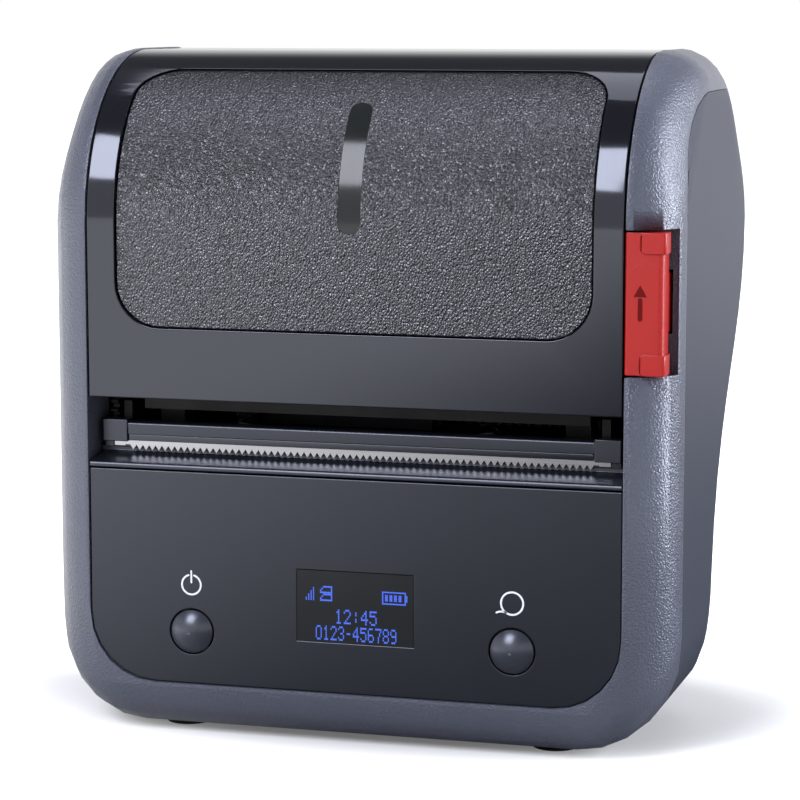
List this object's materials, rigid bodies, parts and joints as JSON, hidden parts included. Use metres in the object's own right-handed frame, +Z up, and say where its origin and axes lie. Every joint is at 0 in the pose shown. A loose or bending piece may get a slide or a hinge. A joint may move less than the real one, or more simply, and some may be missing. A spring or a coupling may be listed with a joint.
{
  "type": "label printer",
  "caption": "Portable thermal label printer with a hinged lid over a roll bay, a serrated tear bar in the paper slot, a panel with buttons and a display, and a red latch.",
  "frame": {"origin": "centre of the bounding box, at the height of the surface that the feet stand on", "axes": "+X to the right seen from the front, +Y from the front panel to the back, +Z up"},
  "size_m": [0.113, 0.08, 0.1206],
  "materials": {
    "bezel_plastic": "satin, finely spark-textured",
    "shell_plastic": "smooth satin",
    "gloss_black": "high gloss",
    "grain_black": "moulded leather grain, semi-matte",
    "panel_plastic": "satin gloss",
    "latch_red": "satin gloss",
    "inner_black": "fine matte moulding",
    "steel": "bright rolled and turned",
    "gear_plastic": "natural acetal",
    "brass": "turned",
    "rubber": "ground rubber",
    "board_green": "solder mask over copper",
    "battery_wrap": "shrink sleeve",
    "display_glass": "smoked window"
  },
  "bodies": {
    "case": {"front_bezel": "bezel_plastic", "rear_shell": "shell_plastic", "inner_frame": "inner_black", "control_panel": "panel_plastic", "display_lens": "display_glass", "display_module": "inner_black", "panel_board": "board_green", "tact_switches": "steel", "slot_ledge": "panel_plastic", "tear_bar_holder": "panel_plastic", "blade_clamp": "gloss_black", "tear_blade": "steel", "mechanism_frame": "inner_black", "head_pivot_pin": "steel", "head_springs": "steel", "drive_gear_axle": "steel", "drive_motor": "steel", "roll_bay": "inner_black", "paper_guide": "inner_black", "gap_sensor": "gloss_black", "guide_axle": "steel", "hinge_pin": "steel", "latch_spring": "steel", "main_board": "board_green", "board_screws": "steel", "battery_pack": "battery_wrap", "battery_door": "shell_plastic", "door_screws": "steel", "usb_port": "steel", "rubber_feet": "rubber"},
    "lid": {"lid_frame": "gloss_black", "lid_inlay": "grain_black", "lid_window": "display_glass", "lid_liner": "inner_black", "lid_catch_pin": "steel", "platen_bushes": "brass"},
    "platen": {"platen_roller": "rubber", "platen_shaft": "steel", "platen_gear": "gear_plastic"},
    "drive_gear": {"drive_gear": "gear_plastic"},
    "motor_pinion": {"motor_pinion": "brass"},
    "print_head": {"print_head": "inner_black"},
    "power_button": {"power_button": "panel_plastic"},
    "feed_button": {"feed_button": "panel_plastic"},
    "guide_left": {"roll_guide_left": "panel_plastic"},
    "guide_right": {"roll_guide_right": "panel_plastic"},
    "guide_pinion": {"guide_pinion": "gear_plastic"},
    "hub_left": {"roll_hub_left": "inner_black"},
    "hub_right": {"roll_hub_right": "inner_black"},
    "latch": {"open_latch": "latch_red"},
    "latch_lever": {"latch_lever": "steel"}
  },
  "joints": [
    {"name": "lid_hinge", "type": "hinge", "parent": "case", "child": "lid", "pos_m": [0, 0.03258, 0.103], "axis": [-1, 0, 0], "range_deg": [0, 75]},
    {"name": "platen_spin", "type": "hinge", "parent": "lid", "child": "platen", "pos_m": [0, -0.026, 0.0662], "axis": [1, 0, 0], "continuous": true},
    {"name": "drive_gear_spin", "type": "hinge", "parent": "case", "child": "drive_gear", "pos_m": [-0.0462, -0.0199, 0.0565], "axis": [1, 0, 0], "continuous": true},
    {"name": "motor_spin", "type": "hinge", "parent": "case", "child": "motor_pinion", "pos_m": [-0.04, -0.01125, 0.04884], "axis": [1, 0, 0], "continuous": true},
    {"name": "print_head_tilt", "type": "hinge", "parent": "case", "child": "print_head", "pos_m": [0, -0.0215, 0.0525], "axis": [1, 0, 0], "range_deg": [0, 3], "stiffness_Nm_per_rad": 2, "springref_deg": -2.86, "deforming": ["head_springs"]},
    {"name": "power_button_press", "type": "slide", "parent": "case", "child": "power_button", "axis": [0, 1, 0], "range_m": [0, 0.0006], "stiffness_N_per_m": 1500, "springref_m": -0.0004},
    {"name": "feed_button_press", "type": "slide", "parent": "case", "child": "feed_button", "axis": [0, 1, 0], "range_m": [0, 0.0006], "stiffness_N_per_m": 1500, "springref_m": -0.0004},
    {"name": "guide_left_slide", "type": "slide", "parent": "case", "child": "guide_left", "axis": [1, 0, 0], "range_m": [0, 0.014]},
    {"name": "guide_right_slide", "type": "slide", "parent": "case", "child": "guide_right", "axis": [-1, 0, 0], "range_m": [0, 0.014]},
    {"name": "guide_pinion_spin", "type": "hinge", "parent": "case", "child": "guide_pinion", "pos_m": [0, 0.004, 0.05225], "axis": [0, 0, 1], "range_deg": [0, 195]},
    {"name": "hub_left_spin", "type": "hinge", "parent": "guide_left", "child": "hub_left", "pos_m": [-0.036, 0.004, 0.086], "axis": [1, 0, 0], "continuous": true},
    {"name": "hub_right_spin", "type": "hinge", "parent": "guide_right", "child": "hub_right", "pos_m": [0.036, 0.004, 0.086], "axis": [1, 0, 0], "continuous": true},
    {"name": "latch_press", "type": "slide", "parent": "case", "child": "latch", "axis": [0, 1, 0], "range_m": [0, 0.002], "stiffness_N_per_m": 800, "springref_m": -0.001, "deforming": ["latch_spring"]},
    {"name": "latch_lever_turn", "type": "hinge", "parent": "case", "child": "latch_lever", "pos_m": [0.05, -0.0225, 0.064], "axis": [-1, 0, 0], "range_deg": [0, 7.7]}
  ],
  "couplings": [
    {"joint": "drive_gear_spin", "follows": "platen_spin", "ratio": -1.375},
    {"joint": "motor_spin", "follows": "platen_spin", "ratio": 3.8958},
    {"joint": "guide_right_slide", "follows": "guide_left_slide", "ratio": 1},
    {"joint": "guide_pinion_spin", "follows": "guide_left_slide", "rad_per_m": 238.1},
    {"joint": "latch_lever_turn", "follows": "latch_press", "rad_per_m": 66.667}
  ]
}
